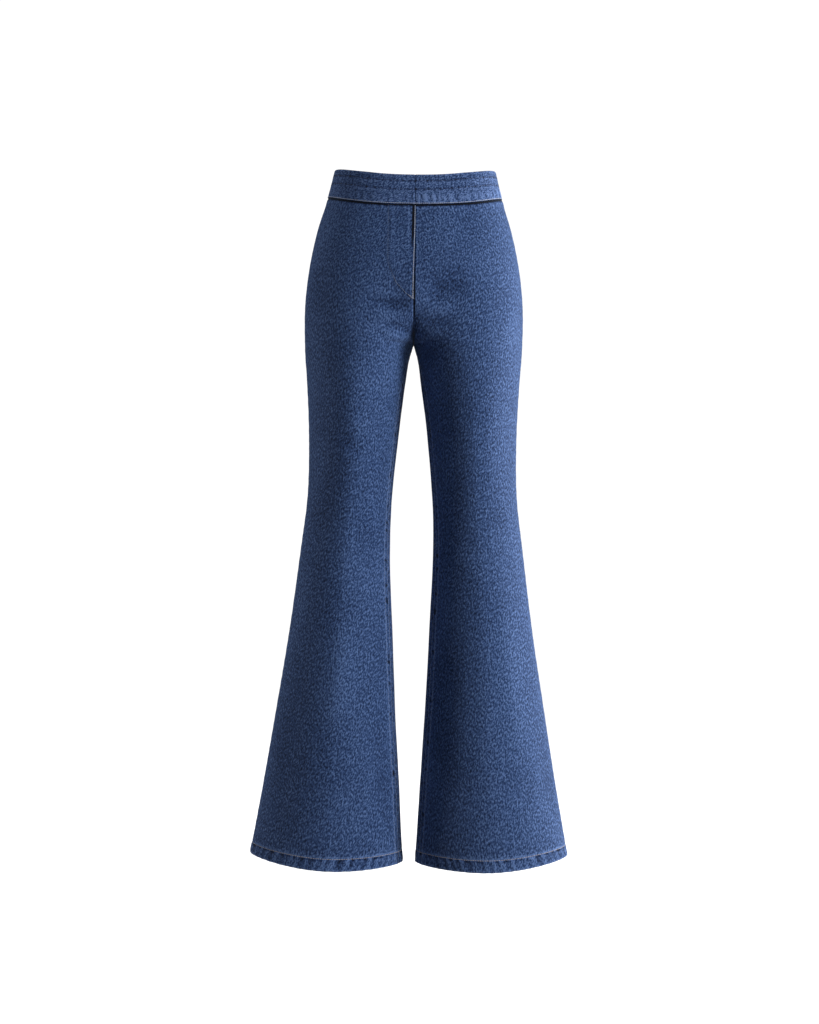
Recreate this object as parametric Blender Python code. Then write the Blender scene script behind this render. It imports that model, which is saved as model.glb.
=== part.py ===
"""High-waisted flared jeans, pulled on, filled out as if worn with nobody inside.

Metres, +Z up.  The wearer faces -Y, so +X is the wearer's left.  The origin is on the
garment's centre line, at the height of the waist where it is held up.
Each cut piece of cloth is a wall: a sheet of points, thickened inwards.
"""

import math

import bpy
import numpy as np

# Walls and seams
DENIM = 0.0015
BAND_WALL = 0.0022
HEM_WALL = 0.0012
FLY_WALL = 0.0010
SEAM_GAP = 0.0003
BAND_PROUD = 0.0010

# Heights of the landmarks, down from the waist
CROTCH_Z = -0.240
FRONT_RISE = 0.075
BACK_RISE = 0.100
HIP_STARTS = -0.330
HIP_ENDS = -0.090
HEM_LEVEL = -1.034
SEAM_LEVEL = -0.0155
BAND_TOP_LEVEL = 0.0326

# The waist edges dip towards the centre front and lift a little at the centre back
SEAM_FRONT_DIP = 0.0195
SEAM_BACK_DIP = -0.002
TOP_FRONT_DIP = 0.0226
TOP_BACK_DIP = -0.002
WAIST_DIP_ENDS = -0.120

# The hem edge rises towards the outer side and sags to the front and the back
HEM_OUTER_LIFT = 0.0062
HEM_SAG = 0.0095
HEM_SAG_STARTS = -0.920
HEM_DEPTH = 0.020
HEM_CLEARANCE = 0.0008

# The inseam lies a little forward of the leg's innermost line
INSEAM_FORWARD = 0.22
INSEAM_SETTLES = 0.080

# The fly: a folded strip, straight from the waist and then curved in to the centre front
FLY_WIDTH = 0.042
FLY_CURVE_TOP = -0.112
FLY_BOTTOM = -0.180
FLY_ROUNDNESS = 1.7
FLY_LAP = 0.0010
FLY_CLEARANCE = 0.0005
FLY_TIP = 0.004
FLY_COLUMNS = 6
FLY_CURVE_DROPS = (0.3, 0.55, 0.75, 0.9, 1.0)

TORSO_ROUNDNESS = 2.35
HALF_LOOP_STEPS = 12

# One leg and its half of the hips, down from the top of the waistband:
# height, outer edge and inner edge from the centre line, depth to the front and to the back,
# and roundness (2 is an ellipse, less than 2 has a soft crease down the front and back).
# Above the fork the inner line runs on past the centre line, which then stands in for it.
FORM_COLUMNS = ("height", "outer", "inner", "front", "back", "round")
FORM = (
    (0.040, 0.1208, -0.1000, 0.084, 0.098, 2.00),
    (-0.016, 0.1345, -0.0800, 0.088, 0.103, 2.00),
    (-0.062, 0.1490, -0.0600, 0.095, 0.111, 2.00),
    (-0.110, 0.1598, -0.0400, 0.101, 0.119, 2.00),
    (-0.170, 0.1676, -0.0200, 0.104, 0.122, 1.95),
    (-0.240, 0.1682, 0.0000, 0.101, 0.108, 1.85),
    (-0.255, 0.1676, 0.0046, 0.100, 0.105, 1.84),
    (-0.300, 0.1644, 0.0119, 0.096, 0.094, 1.80),
    (-0.390, 0.1606, 0.0230, 0.086, 0.078, 1.75),
    (-0.475, 0.1620, 0.0309, 0.072, 0.062, 1.72),
    (-0.560, 0.1721, 0.0332, 0.066, 0.058, 1.70),
    (-0.680, 0.1877, 0.0286, 0.070, 0.064, 1.70),
    (-0.800, 0.2066, 0.0232, 0.077, 0.073, 1.72),
    (-0.920, 0.2264, 0.0160, 0.083, 0.081, 1.76),
    (-1.045, 0.2487, 0.0098, 0.089, 0.089, 1.80),
)

# Heights of the rows of points between the rise and the hem, and from the waist to the rise
UPPER_ROWS = (-0.045, -0.072, -0.098, -0.120)
RISE_STEPS = 6
LEG_ROWS = (
    -0.248, -0.262, -0.280, -0.305, -0.335, -0.370, -0.410, -0.450, -0.490, -0.530,
    -0.575, -0.625, -0.675, -0.730, -0.785, -0.840, -0.895, -0.950, -0.995,
)


def form_at(height):
    """The form's columns at a height, on a smooth curve through the table's rows."""
    rows = np.array(FORM)[::-1]
    heights = rows[:, 0]
    values = rows[:, 1:]
    slopes = np.gradient(values, heights, axis=0)
    i = int(np.clip(np.searchsorted(heights, height) - 1, 0, len(heights) - 2))
    step = heights[i + 1] - heights[i]
    t = (height - heights[i]) / step
    value = (
        (1 + 2 * t) * (1 - t) ** 2 * values[i]
        + t * (1 - t) ** 2 * step * slopes[i]
        + t * t * (3 - 2 * t) * values[i + 1]
        - t * t * (1 - t) * step * slopes[i + 1]
    )
    form = dict(zip(FORM_COLUMNS[1:], value.tolist()))
    form["inner"] = max(form["inner"], 0.0)
    return form


def smooth_step(t):
    t = min(max(t, 0.0), 1.0)
    return t * t * (3 - 2 * t)


def leg_point(angle, height):
    """A point of the leg's loop: angle 0 innermost, a half turn outermost, by the front."""
    form = form_at(height)
    middle = (form["outer"] + form["inner"]) / 2
    half_width = (form["outer"] - form["inner"]) / 2
    power = 2 / form["round"]
    along = math.cos(angle)
    across = math.sin(angle)
    depth = form["front"] if across > 0 else form["back"]
    x = middle - half_width * math.copysign(abs(along) ** power, along)
    y = -depth * math.copysign(abs(across) ** power, across)
    return x, y


def torso_depth(x, height, facing):
    """How far the hips stand in front of (or behind) the side seam at x."""
    form = form_at(height)
    depth = form[facing]
    reach = min(abs(x) / form["outer"], 1.0)
    return depth * (1 - reach**TORSO_ROUNDNESS) ** (1 / TORSO_ROUNDNESS)


def hip_share(x, height, facing):
    """0 where the section is a leg, to 1 where it is the hips.

    Beside the centre line it climbs steeply from the fork, along the curve of the rise.
    Further out the thigh turns into the hip over a taller stretch.
    """
    form = form_at(height)
    rise = FRONT_RISE if facing == "front" else BACK_RISE
    climb = min(max((height - CROTCH_Z) / rise, 0.0), 1.0)
    by_the_rise = math.sqrt(1 - (1 - climb) ** 2)
    over_the_thigh = smooth_step((height - HIP_STARTS) / (HIP_ENDS - HIP_STARTS))
    outward = smooth_step(2 * (x - form["inner"]) / (form["outer"] - form["inner"]))
    return by_the_rise + (over_the_thigh - by_the_rise) * outward


def surface_point(angle, height, facing):
    """The jeans' outer face on the wearer's left, above the fork and below it."""
    x, y = leg_point(angle, height)
    share = hip_share(x, height, facing)
    side = -1 if y < 0 or (y == 0 and facing == "front") else 1
    half = "front" if side < 0 else "back"
    return x, (1 - share) * y + share * side * torso_depth(x, height, half)


def front_face(x, height):
    """How far forward the outer face lies at x, on either side of the centre line."""
    form = form_at(height)
    middle = (form["outer"] + form["inner"]) / 2
    half_width = (form["outer"] - form["inner"]) / 2
    along = (middle - abs(x)) / half_width
    angle = math.acos(math.copysign(abs(along) ** (form["round"] / 2), along))
    return surface_point(angle, height, "front")[1]


def waist_edge(y, level, front_dip, back_dip):
    """Height of an edge that runs round the waist at this level and dips to the centre."""
    form = form_at(level)
    if y < 0:
        return level - front_dip * (y / form["front"]) ** 2
    return level - back_dip * (y / form["back"]) ** 2


def hem_edge(x, y):
    form = form_at(HEM_LEVEL)
    outward = (x - form["inner"]) / (form["outer"] - form["inner"])
    depth = form["front"] if y < 0 else form["back"]
    tilt = HEM_OUTER_LIFT * (2 * outward - 1)
    return HEM_LEVEL + tilt - HEM_SAG * (y / depth) ** 2


def panel_heights():
    rise = [
        CROTCH_Z + BACK_RISE * (1 - math.cos(math.radians(90 * i / RISE_STEPS)))
        for i in range(RISE_STEPS, -1, -1)
    ]
    return [SEAM_LEVEL, *UPPER_ROWS, *rise, *LEG_ROWS, HEM_LEVEL]


def inseam_angle(height):
    """The inseam leaves the fork at the leg's innermost line and drifts forward below."""
    power = form_at(height)["round"] / 2
    settled = math.asin(INSEAM_FORWARD**power)
    return settled * smooth_step((CROTCH_Z - height) / INSEAM_SETTLES)


def panel_point(angle, height, facing):
    """A point of a panel, with its level eased to the waist seam or to the hem's edge."""
    level = height
    x, y = surface_point(angle, level, facing)
    if height > WAIST_DIP_ENDS:
        edge = waist_edge(y, SEAM_LEVEL, SEAM_FRONT_DIP, SEAM_BACK_DIP) - SEAM_GAP / 2
        fade = (height - WAIST_DIP_ENDS) / (SEAM_LEVEL - WAIST_DIP_ENDS)
        level += (edge - SEAM_LEVEL) * fade
        x, y = surface_point(angle, level, facing)
    if height < HEM_SAG_STARTS:
        fade = (HEM_SAG_STARTS - height) / (HEM_SAG_STARTS - HEM_LEVEL)
        level += (hem_edge(x, y) - HEM_LEVEL) * fade
        x, y = surface_point(angle, level, facing)
    return x + SEAM_GAP / 2, y, level


def loop_angles(height):
    """Angles round half the jeans: up the front to the side seam, and on round the back."""
    inner = inseam_angle(height)
    front = np.linspace(inner, math.pi, HALF_LOOP_STEPS + 1)
    back = np.linspace(math.pi, 2 * math.pi + inner, HALF_LOOP_STEPS + 1)
    facings = ["front"] * len(front) + ["back"] * HALF_LOOP_STEPS
    return list(zip([*front, *back[1:]], facings))


def outward_normals(rows, joined):
    """Unit normals of a sheet whose rows go down and whose points go round to the left.

    joined marks the rows whose two ends are one point.
    """
    along = np.gradient(rows, axis=1)
    ends = rows[:, 1] - rows[:, -2]
    along[joined, 0] = ends[joined]
    along[joined, -1] = ends[joined]
    down = np.gradient(rows, axis=0)
    normals = np.cross(down, along)
    return normals / np.linalg.norm(normals, axis=2)[:, :, None]


def trimmed(rows, length):
    """Rows whose two ends are drawn in, which leaves the gap of a seam."""
    rows = rows.copy()
    for end, neighbour in ((0, 1), (-1, -2)):
        along = rows[:, neighbour] - rows[:, end]
        rows[:, end] += along * (length / np.linalg.norm(along, axis=1)[:, None])
    return rows


def mirrored(rows):
    """The same rows on the wearer's right, still going round to the left."""
    return rows[:, ::-1] * (-1, 1, 1)


def denim_material(name, colour):
    material = bpy.data.materials.new(name)
    material.use_nodes = True
    shader = material.node_tree.nodes["Principled BSDF"]
    shader.inputs["Base Color"].default_value = (*colour, 1.0)
    shader.inputs["Roughness"].default_value = 0.85
    shader.inputs["Metallic"].default_value = 0.0
    material.diffuse_color = (*colour, 1.0)
    return material


def cloth_piece(name, outer, inner, colour, closed=False):
    """A wall of cloth between its outer and inner rows; a closed one is a ring."""
    height, across = outer.shape[:2]
    points = np.concatenate([outer.reshape(-1, 3), inner.reshape(-1, 3)])
    under = height * across
    faces = []
    for i in range(height - 1):
        for j in range(across if closed else across - 1):
            corner = i * across + j
            after = i * across + (j + 1) % across
            faces.append((corner, corner + across, after + across, after))
            faces.append((after + under, after + across + under, corner + across + under, corner + under))
    for j in range(across if closed else across - 1):
        after = (j + 1) % across
        last = (height - 1) * across
        faces.append((j, after, after + under, j + under))
        faces.append((last + j, last + j + under, last + after + under, last + after))
    if not closed:
        for i in range(height - 1):
            upper = i * across
            lower = upper + across
            end = across - 1
            faces.append((upper, upper + under, lower + under, lower))
            faces.append((upper + end, lower + end, lower + end + under, upper + end + under))
    mesh = bpy.data.meshes.new(name)
    mesh.from_pydata(points.tolist(), [], faces)
    mesh.shade_smooth()
    mesh.set_sharp_from_angle(angle=math.radians(50))
    mesh.materials.append(denim_material(name, colour))
    piece = bpy.data.objects.new(name, mesh)
    bpy.context.scene.collection.objects.link(piece)


def leg_panels():
    """Front and back panels of both legs, from the waist seam down to the hem."""
    heights = panel_heights()
    outer = np.array([
        [panel_point(angle, height, facing) for angle, facing in loop_angles(height)]
        for height in heights
    ])
    joined = np.array(heights) <= CROTCH_Z
    inner = outer - DENIM * outward_normals(outer, joined)
    for name, first, colour in (
        ("front", 0, (0.055, 0.095, 0.215)),
        ("back", HALF_LOOP_STEPS, (0.045, 0.080, 0.190)),
    ):
        share = slice(first, first + HALF_LOOP_STEPS + 1)
        faces = [trimmed(sheet[:, share], SEAM_GAP / 2) for sheet in (outer, inner)]
        cloth_piece(f"{name}_left", *faces, colour)
        cloth_piece(f"{name}_right", *map(mirrored, faces), colour)


def fly():
    """The mock fly on the wearer's right front, folded along the centre front."""
    heights = [SEAM_LEVEL, -0.045, -0.072, -0.092, FLY_CURVE_TOP]
    heights += [FLY_CURVE_TOP + (FLY_BOTTOM - FLY_CURVE_TOP) * drop for drop in FLY_CURVE_DROPS]
    rows = []
    for height in heights:
        drop = max((FLY_CURVE_TOP - height) / (FLY_CURVE_TOP - FLY_BOTTOM), 0.0)
        share = max(1 - drop**FLY_ROUNDNESS, 0.0) ** (1 / FLY_ROUNDNESS)
        width = max(FLY_WIDTH * share, FLY_TIP)
        row = []
        for x in np.linspace(-width, FLY_LAP, FLY_COLUMNS):
            y = front_face(x, height)
            edge = waist_edge(y, SEAM_LEVEL, SEAM_FRONT_DIP, SEAM_BACK_DIP) - SEAM_GAP / 2
            fade = max((height - WAIST_DIP_ENDS) / (SEAM_LEVEL - WAIST_DIP_ENDS), 0.0)
            level = height + (edge - SEAM_LEVEL) * fade
            row.append((x, front_face(x, level), level))
        rows.append(row)
    panel = np.array(rows)
    normals = outward_normals(panel, np.zeros(len(panel), bool))
    under = panel + FLY_CLEARANCE * normals
    cloth_piece("fly", under + FLY_WALL * normals, under, (0.060, 0.100, 0.225))


def waistband():
    """Two front pieces that meet at the centre front, and one back piece between the sides."""
    seam = (SEAM_LEVEL + SEAM_GAP / 2, SEAM_FRONT_DIP, SEAM_BACK_DIP)
    top = (BAND_TOP_LEVEL, TOP_FRONT_DIP, TOP_BACK_DIP)
    rows = []
    for share in (1.0, 0.5, 0.0):
        level, front_dip, back_dip = (a + (b - a) * share for a, b in zip(seam, top))
        left = []
        for angle, facing in loop_angles(level):
            x, y = surface_point(angle, level, facing)
            edge = waist_edge(y, level, front_dip, back_dip)
            left.append((*surface_point(angle, edge, facing), edge))
        right = [(-x, y, z) for x, y, z in left[-2::-1]]
        rows.append(left + right)
    panel = np.array(rows)
    normals = outward_normals(panel, np.ones(len(panel), bool))
    outer = panel + BAND_PROUD * normals
    inner = outer - BAND_WALL * normals
    for name, first, steps in (
        ("waistband_front_left", 0, HALF_LOOP_STEPS),
        ("waistband_back", HALF_LOOP_STEPS, 2 * HALF_LOOP_STEPS),
        ("waistband_front_right", 3 * HALF_LOOP_STEPS, HALF_LOOP_STEPS),
    ):
        share = slice(first, first + steps + 1)
        faces = [trimmed(sheet[:, share], SEAM_GAP / 2) for sheet in (outer, inner)]
        cloth_piece(name, *faces, (0.065, 0.110, 0.240))


def hems():
    """The turned-up hem inside each leg, a ring just clear of the panels."""
    rows = []
    for lift in (HEM_DEPTH, HEM_DEPTH / 2, 0.0):
        row = []
        for angle, _ in loop_angles(HEM_LEVEL):
            level = hem_edge(*leg_point(angle, HEM_LEVEL)) + lift
            x, y = leg_point(angle, level)
            row.append((x + SEAM_GAP / 2, y, level))
        rows.append(row)
    panel = np.array(rows)
    normals = outward_normals(panel, np.ones(len(panel), bool))
    outer = (panel - (DENIM + HEM_CLEARANCE) * normals)[:, :-1]
    inner = outer - HEM_WALL * normals[:, :-1]
    cloth_piece("hem_left", outer, inner, (0.050, 0.085, 0.200), closed=True)
    cloth_piece("hem_right", mirrored(outer), mirrored(inner), (0.050, 0.085, 0.200), closed=True)


for old in list(bpy.data.objects):
    bpy.data.objects.remove(old)
leg_panels()
fly()
waistband()
hems()
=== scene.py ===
import math

import bpy
import numpy as np
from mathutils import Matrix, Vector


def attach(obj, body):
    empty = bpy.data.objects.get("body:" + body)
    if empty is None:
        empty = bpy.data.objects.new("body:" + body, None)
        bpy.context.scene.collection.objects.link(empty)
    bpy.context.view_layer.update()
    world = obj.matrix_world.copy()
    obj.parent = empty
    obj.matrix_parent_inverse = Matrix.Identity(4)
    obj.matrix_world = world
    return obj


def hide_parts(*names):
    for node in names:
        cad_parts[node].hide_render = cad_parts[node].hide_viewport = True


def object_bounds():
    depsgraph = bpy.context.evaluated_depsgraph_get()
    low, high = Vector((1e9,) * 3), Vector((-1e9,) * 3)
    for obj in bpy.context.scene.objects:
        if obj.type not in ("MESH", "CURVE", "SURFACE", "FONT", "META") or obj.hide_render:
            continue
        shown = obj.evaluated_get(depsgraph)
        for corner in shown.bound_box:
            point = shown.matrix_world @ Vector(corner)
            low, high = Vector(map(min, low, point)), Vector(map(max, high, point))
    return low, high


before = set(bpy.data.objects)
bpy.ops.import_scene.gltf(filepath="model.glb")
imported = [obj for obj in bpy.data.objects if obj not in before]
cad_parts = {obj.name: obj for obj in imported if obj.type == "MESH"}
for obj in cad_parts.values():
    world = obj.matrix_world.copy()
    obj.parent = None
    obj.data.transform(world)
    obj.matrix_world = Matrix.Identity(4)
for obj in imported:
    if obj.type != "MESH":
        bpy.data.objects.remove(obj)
cad_low, cad_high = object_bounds()


# --- Leg panels ---------------------------------------------------------------------------
# Two fronts and two backs of mid-blue 12 ounce denim, each cut in one from the waist seam to
# the hem, where the cloth folds under.  The inseams are felled, the side seams pressed open,
# and the centre seams close the rise.  They keep the shape they have on a wearer.

PATTERN_HEIGHT = 1.079
grown = (cad_high.z - cad_low.z) / PATTERN_HEIGHT

DENIM_WALL = 0.0010
SEAM_LAP = 0.00003
FOLD_RADIUS = 0.0012
FOLD_STEPS = 6

# Heights, down from the waist
SEAM_LEVEL = -0.0155
WAIST_DIP_ENDS = -0.120
FORK = -0.240
FRONT_RISE = 0.075
BACK_RISE = 0.100
HIP_STARTS = -0.330
HIP_ENDS = -0.090
HEM_SAG_STARTS = -0.920
HEM_LEVEL = -1.034

SEAM_FRONT_DIP = 0.0195
SEAM_BACK_DIP = -0.002
HEM_OUTER_LIFT = 0.0062
HEM_SAG = 0.0095
INSEAM_FORWARD = 0.22
INSEAM_SETTLES = 0.080
TORSO_ROUNDNESS = 2.35

# One leg and its half of the hips: height, outer and inner edge from the centre line, depth
# to the front and to the back, and roundness (2 is an ellipse, less has a soft front crease)
FORM_COLUMNS = ("height", "outer", "inner", "front", "back", "round")
FORM = (
    (0.040, 0.1208, -0.1000, 0.084, 0.098, 2.00),
    (-0.016, 0.1345, -0.0800, 0.088, 0.103, 2.00),
    (-0.062, 0.1490, -0.0600, 0.095, 0.111, 2.00),
    (-0.110, 0.1598, -0.0400, 0.101, 0.119, 2.00),
    (-0.170, 0.1676, -0.0200, 0.104, 0.122, 1.95),
    (-0.240, 0.1682, 0.0000, 0.101, 0.108, 1.85),
    (-0.255, 0.1676, 0.0046, 0.100, 0.105, 1.84),
    (-0.300, 0.1644, 0.0119, 0.096, 0.094, 1.80),
    (-0.390, 0.1606, 0.0230, 0.086, 0.078, 1.75),
    (-0.475, 0.1620, 0.0309, 0.072, 0.062, 1.72),
    (-0.560, 0.1721, 0.0332, 0.066, 0.058, 1.70),
    (-0.680, 0.1877, 0.0286, 0.070, 0.064, 1.70),
    (-0.800, 0.2066, 0.0232, 0.077, 0.073, 1.72),
    (-0.920, 0.2264, 0.0160, 0.083, 0.081, 1.76),
    (-1.045, 0.2487, 0.0098, 0.089, 0.089, 1.80),
)


def smooth(t):
    t = np.clip(t, 0, 1)
    return t * t * (3 - 2 * t)


def unit(vectors):
    return vectors / np.linalg.norm(vectors, axis=-1, keepdims=True)


def form_at(height):
    """The form's columns at these heights, on smooth curves through the table's rows."""
    rows = np.array(FORM)[::-1]
    heights, values = rows[:, 0], rows[:, 1:]
    slopes = np.gradient(values, heights, axis=0)
    i = np.clip(np.searchsorted(heights, height) - 1, 0, len(heights) - 2)
    step = (heights[i + 1] - heights[i])[..., None]
    t = (height - heights[i])[..., None] / step
    value = (
        (1 + 2 * t) * (1 - t) ** 2 * values[i]
        + t * (1 - t) ** 2 * step * slopes[i]
        + t * t * (3 - 2 * t) * values[i + 1]
        - t * t * (1 - t) * step * slopes[i + 1]
    )
    form = dict(zip(FORM_COLUMNS[1:], np.moveaxis(value, -1, 0)))
    form["inner"] = np.maximum(form["inner"], 0)
    return form


def on_the_form(angle, height, facing):
    """Across and deep (x and y) on the wearer's left; facing is -1 on a front, 1 on a back.

    Angle 0 is innermost and a half turn outermost.  The leg turns into half the hips above
    the fork: steeply along the rise, and over a taller stretch further out.
    """
    form = form_at(height)
    middle = (form["outer"] + form["inner"]) / 2
    half_width = (form["outer"] - form["inner"]) / 2
    power = 2 / form["round"]
    along = np.cos(angle)
    across = np.sin(angle)
    side = np.where(abs(across) < 1e-9, facing, -np.sign(across))
    depth = np.where(side < 0, form["front"], form["back"])
    x = middle - half_width * np.sign(along) * abs(along) ** power
    y = side * depth * abs(across) ** power
    climb = np.clip((height - FORK) / np.where(facing < 0, FRONT_RISE, BACK_RISE), 0, 1)
    by_the_rise = np.sqrt(1 - (1 - climb) ** 2)
    over_the_thigh = smooth((height - HIP_STARTS) / (HIP_ENDS - HIP_STARTS))
    outward = smooth(2 * (x - form["inner"]) / (form["outer"] - form["inner"]))
    share = by_the_rise + (over_the_thigh - by_the_rise) * outward
    reach = np.minimum(abs(x) / form["outer"], 1)
    hips = side * depth * (1 - reach**TORSO_ROUNDNESS) ** (1 / TORSO_ROUNDNESS)
    return x, y + share * (hips - y)


def waist_edge(y, level, front_dip, back_dip):
    form = form_at(level)
    front = level - front_dip * (y / form["front"]) ** 2
    back = level - back_dip * (y / form["back"]) ** 2
    return np.where(y < 0, front, back)


def hem_edge(x, y):
    form = form_at(np.array(HEM_LEVEL))
    outward = (x - form["inner"]) / (form["outer"] - form["inner"])
    depth = np.where(y < 0, form["front"], form["back"])
    return HEM_LEVEL + HEM_OUTER_LIFT * (2 * outward - 1) - HEM_SAG * (y / depth) ** 2


def on_the_panels(angle, height, facing):
    """Points of the panels, with their level eased to the waist seam and to the hem's edge."""
    x, y = on_the_form(angle, height, facing)
    dip = waist_edge(y, np.full_like(y, SEAM_LEVEL), SEAM_FRONT_DIP, SEAM_BACK_DIP)
    near_waist = np.clip((height - WAIST_DIP_ENDS) / (SEAM_LEVEL - WAIST_DIP_ENDS), 0, 1)
    level = height + (dip - SEAM_LEVEL) * near_waist
    x, y = on_the_form(angle, level, facing)
    near_hem = np.clip((HEM_SAG_STARTS - height) / (HEM_SAG_STARTS - HEM_LEVEL), 0, 1)
    level = level + (hem_edge(x, y) - HEM_LEVEL) * near_hem
    x, y = on_the_form(angle, level, facing)
    return np.stack([x - SEAM_LAP / 2, y, level], axis=-1)


def inseam_angle(height):
    """The inseam leaves the fork at the leg's innermost line and drifts forward below."""
    settled = np.arcsin(INSEAM_FORWARD ** (form_at(height)["round"] / 2))
    return settled * smooth((FORK - height) / INSEAM_SETTLES)


def from_to(start, stop, step):
    return np.linspace(start, stop, round(abs(stop - start) / step), endpoint=False)


# The panels' rows lie close at the waist seam, at the fork and at the hem
RISE_STEPS = 34
rise_rows = FORK + BACK_RISE * (1 - np.cos(np.linspace(math.pi / 2, 0, RISE_STEPS + 1)))
panel_rows = np.concatenate([
    SEAM_LEVEL - np.array([0, 0.0006, 0.0013, 0.0022, 0.0034, 0.0050, 0.0070]),
    from_to(SEAM_LEVEL - 0.0095, rise_rows[0], 0.0036),
    rise_rows,
    from_to(FORK - 0.0020, HEM_LEVEL + 0.026, 0.0042),
    from_to(HEM_LEVEL + 0.026, HEM_LEVEL + FOLD_RADIUS, 0.0014),
    [HEM_LEVEL + FOLD_RADIUS],
])

# Columns: close beside a seam, even between
BESIDE_A_SEAM = (0, 0.0005, 0.0011, 0.0019, 0.0029, 0.0041, 0.0056, 0.0075, 0.0098, 0.0125)
EVEN_COLUMNS = 88
LOOP_SAMPLES = 360


def across_a_piece(length, beside, even):
    """Distances along rows of these lengths."""
    beside = np.array(beside)
    length = np.asarray(length)[:, None]
    share = np.linspace(0, 1, even + 2)[1:-1]
    middle = beside[-1] + (length - 2 * beside[-1]) * share
    first = np.broadcast_to(beside, (len(length), len(beside)))
    return np.concatenate([first, middle, length - beside[::-1]], axis=1)


def resampled(rows, beside, even):
    """Rows with their points at these distances along them, and the distances."""
    steps = np.linalg.norm(np.diff(rows, axis=1), axis=2)
    along = np.concatenate([np.zeros((len(rows), 1)), np.cumsum(steps, axis=1)], axis=1)
    wanted = across_a_piece(along[:, -1], beside, even)
    points = np.stack([
        np.stack([np.interp(want, have, row[:, k]) for k in range(3)], axis=-1)
        for want, have, row in zip(wanted, along, rows)
    ])
    return points, wanted


def outward_normals(rows, joined):
    """Normals of rows that go down, with points that go round to the left.

    A joined row's two ends are one point.  Any other row ends at the centre line, where the
    other leg mirrors it.
    """
    along = np.gradient(rows, axis=1)
    mirror = np.array([2.0, 0.0, 0.0])
    closing = rows[:, 1] - rows[:, -2]
    along[:, 0] = np.where(joined[:, None], closing, rows[:, 1] * mirror)
    along[:, -1] = np.where(joined[:, None], closing, rows[:, -2] * -mirror)
    return unit(np.cross(np.gradient(rows, axis=0), along))


LATTICE = 64


def rolling(across, down, size, seed):
    """Soft unevenness of about this size, from -1 to 1."""
    lattice = np.random.default_rng(seed).uniform(-1, 1, (LATTICE, LATTICE))
    a, b = across / size + LATTICE, down / size + LATTICE
    i, j = np.floor(a).astype(int), np.floor(b).astype(int)
    s, t = smooth(a - i), smooth(b - j)
    i, j = i % LATTICE, j % LATTICE
    i_next, j_next = (i + 1) % LATTICE, (j + 1) % LATTICE
    upper = lattice[i, j] * (1 - s) + lattice[i_next, j] * s
    lower = lattice[i, j_next] * (1 - s) + lattice[i_next, j_next] * s
    return upper * (1 - t) + lower * t


def puckers(along, spacing, seed):
    """A wave along a seam, uneven in height and spacing, from -1 to 1."""
    heights = np.random.default_rng(seed).uniform(0.25, 1.0, 512)
    heights[::2] *= -1
    phase = 2 * along / spacing + 256
    phase = phase + 0.5 * np.sin(0.37 * phase + seed) + 0.4 * np.sin(0.83 * phase + 2 * seed)
    i = np.floor(phase).astype(int)
    t = smooth(phase - i)
    return heights[i % 512] * (1 - t) + heights[(i + 1) % 512] * t


def beside(distance, reach):
    return np.exp(-((distance / reach) ** 2))


# Creases, in millimetres: from and to (distance from the panel's middle, + towards the side
# seam; height), half width, and height, - in a trough
CREASE_COLUMNS = ("from_across", "from_height", "to_across", "to_height", "reach", "height")
CREASES = {
    "front_right": (
        (-30, -176, -94, -188, 6.5, -1.3),
        (-20, -163, -90, -174, 8, 1),
        (-60, -213, -106, -226, 6, -1.6),
        (-46, -201, -102, -210, 8, 1.1),
        (-50, -228, -108, -240, 10, 1.2),
        (-58, -186, -112, -184, 7, -1.4),
        (-108, -262, -70, -246, 6, -0.9),
        (18, -375, -30, -418, 9, -1),
        (0, -352, -44, -384, 13, 0.8),
        (55, -110, 30, -215, 22, -1.2),
        (-10, -520, -70, -545, 20, -0.9),
        (60, -490, 10, -525, 18, -0.7),
        (-20, -640, -12, -860, 24, 1.2),
        (60, -700, 85, -960, 26, -1.4),
        (-85, -780, -100, -990, 18, -0.8),
    ),
    "front_left": (
        (-104, -196, -50, -190, 9, 1.4),
        (-106, -212, -40, -208, 8, -1.3),
        (-100, -166, -20, -150, 20, -2.2),
        (-106, -234, -60, -226, 8, 1),
        (-108, -256, -50, -268, 9, -1.2),
        (20, -180, 86, -262, 20, 0.8),
        (-40, -330, 20, -370, 16, -0.8),
        (0, -500, 60, -530, 18, -0.9),
        (-60, -560, -10, -580, 18, 0.8),
        (30, -620, 40, -860, 22, 1.2),
        (-70, -680, -90, -940, 24, -1.4),
        (90, -800, 110, -990, 18, -0.9),
    ),
    "back_right": (
        (-100, -238, -20, -262, 8, -1.6),
        (-90, -256, 10, -284, 10, 1.2),
        (-70, -276, 40, -312, 9, -1.3),
        (80, -60, 40, -130, 16, -1),
        (-60, -480, 50, -500, 9, -1.4),
        (-50, -500, 60, -522, 11, 1.2),
        (-30, -530, 70, -556, 9, -1.1),
        (20, -640, 40, -900, 26, 1.4),
        (-60, -700, -90, -960, 22, -1.3),
    ),
    "back_left": (
        (-104, -236, -10, -254, 8.5, -1.5),
        (-86, -252, 20, -280, 11, 1.2),
        (-60, -282, 50, -300, 8, -1.1),
        (70, -70, 50, -150, 15, -0.9),
        (-50, -476, 60, -506, 10, -1.5),
        (-60, -502, 40, -528, 10, 1.1),
        (-10, -548, 72, -566, 9, -1),
        (-10, -660, -20, -930, 24, 1.3),
        (70, -720, 100, -980, 24, -1.3),
    ),
}


def crease(across, level, line):
    """A crease's height above the smooth cloth: soft to the sides, tapered to both ends."""
    line = {column: value / 1000 for column, value in zip(CREASE_COLUMNS, line)}
    run = line["to_across"] - line["from_across"]
    drop = line["to_height"] - line["from_height"]
    right, down = across - line["from_across"], level - line["from_height"]
    along = (right * run + down * drop) / (run**2 + drop**2)
    off = (right * drop - down * run) / math.hypot(run, drop)
    taper = smooth(along / 0.35) * smooth((1 - along) / 0.35)
    return line["height"] * taper * beside(off, line["reach"])


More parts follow.
